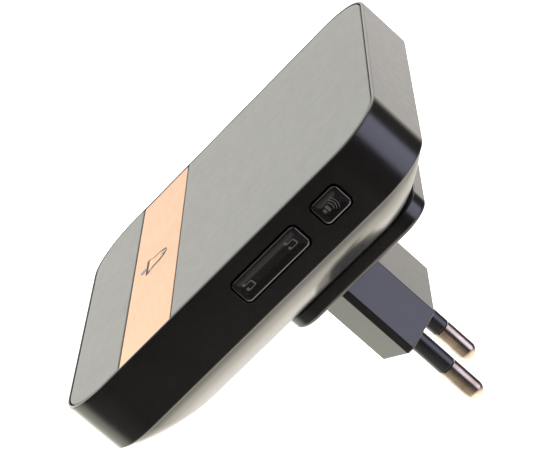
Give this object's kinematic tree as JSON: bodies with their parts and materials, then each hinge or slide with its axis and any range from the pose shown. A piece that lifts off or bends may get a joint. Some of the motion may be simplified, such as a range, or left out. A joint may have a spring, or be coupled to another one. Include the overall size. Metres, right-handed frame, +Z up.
{
  "type": "plug-in doorbell chime receiver",
  "caption": "Flat square chime receiver that plugs into a wall socket, with a grey front, a copper strip, a black frame and side keys.",
  "frame": {"origin": "centre of the plug's engagement face, where the two pins leave it", "axes": "+Y along the pins towards the wall socket, +X towards the side with the keys, +Z up along the long side of the frame, front cover facing -Y"},
  "size_m": [0.0813, 0.062, 0.08],
  "materials": {
    "cover_plastic": "satin light warm grey with a fine grain",
    "copper_strip": "brushed, copper-coloured anodised",
    "black_plastic": "satin black",
    "key_plastic": "satin black, a little duller than the frame",
    "sleeve_plastic": "smooth black",
    "pin_metal": "nickel-plated, lightly worn",
    "screw_steel": "zinc plated",
    "board_laminate": "green solder mask",
    "dark_plastic": "matt black",
    "magnet_ferrite": "dark zinc plated",
    "paper_cone": "pressed paper",
    "foam_ring": "soft black foam",
    "winding_tape": "yellow tape",
    "can_sleeve": "shrink sleeve",
    "copper_wire": "bare copper",
    "lead_brown": "wire insulation",
    "lead_blue": "wire insulation",
    "lead_red": "wire insulation"
  },
  "bodies": {
    "housing": {"front_cover": "cover_plastic", "copper_strip": "copper_strip", "frame": "black_plastic", "rear_shell": "black_plastic", "plug_base": "black_plastic", "pin_left": "pin_metal", "pin_right": "pin_metal", "pin_sleeve_left": "sleeve_plastic", "pin_sleeve_right": "sleeve_plastic", "key_board": "board_laminate", "switch_volume": "dark_plastic", "switch_next": "dark_plastic", "switch_previous": "dark_plastic", "speaker_gasket": "foam_ring", "speaker_basket": "dark_plastic", "speaker_magnet": "magnet_ferrite", "housing_screw_left": "screw_steel", "housing_screw_right": "screw_steel", "plug_screw_left": "screw_steel", "plug_screw_right": "screw_steel", "main_board": "board_laminate", "transformer": "winding_tape", "capacitor_mains": "can_sleeve", "capacitor_output": "can_sleeve", "fuse": "copper_wire", "rectifier": "dark_plastic", "chime_chip": "dark_plastic", "radio_module": "screw_steel", "antenna": "copper_wire", "mains_lead_left": "lead_blue", "mains_lead_right": "lead_brown", "speaker_lead_left": "dark_plastic", "speaker_lead_right": "lead_red"},
    "volume_key": {"volume_key": "key_plastic"},
    "melody_rocker": {"melody_rocker": "key_plastic"},
    "plunger_volume": {"plunger_volume": "screw_steel"},
    "plunger_next": {"plunger_next": "screw_steel"},
    "plunger_previous": {"plunger_previous": "screw_steel"},
    "speaker_cone": {"speaker_cone": "paper_cone", "speaker_surround": "foam_ring"}
  },
  "joints": [
    {"name": "volume_press", "type": "slide", "parent": "housing", "child": "volume_key", "axis": [-1, 0, 0], "range_m": [0, 0.0004], "stiffness_N_per_m": 400, "springref_m": -0.0004},
    {"name": "volume_switch", "type": "slide", "parent": "housing", "child": "plunger_volume", "axis": [-1, 0, 0], "range_m": [0, 0.0004]},
    {"name": "melody_rock", "type": "hinge", "parent": "housing", "child": "melody_rocker", "pos_m": [0.0374, -0.0373, 0.0017], "axis": [0, 1, 0], "range_deg": [-1.8, 1.8], "stiffness_Nm_per_rad": 0.05},
    {"name": "next_switch", "type": "slide", "parent": "housing", "child": "plunger_next", "axis": [-1, 0, 0], "range_m": [-0.000157, 0.000157]},
    {"name": "previous_switch", "type": "slide", "parent": "housing", "child": "plunger_previous", "axis": [-1, 0, 0], "range_m": [-0.00016, 0.00016]},
    {"name": "cone_travel", "type": "slide", "parent": "housing", "child": "speaker_cone", "axis": [0, 1, 0], "range_m": [-0.0004, 0.0004], "stiffness_N_per_m": 800}
  ],
  "couplings": [
    {"joint": "volume_switch", "follows": "volume_press", "ratio": 1},
    {"joint": "melody_rock", "follows": "next_switch", "rad_per_m": -200},
    {"joint": "previous_switch", "follows": "next_switch", "ratio": -1}
  ]
}
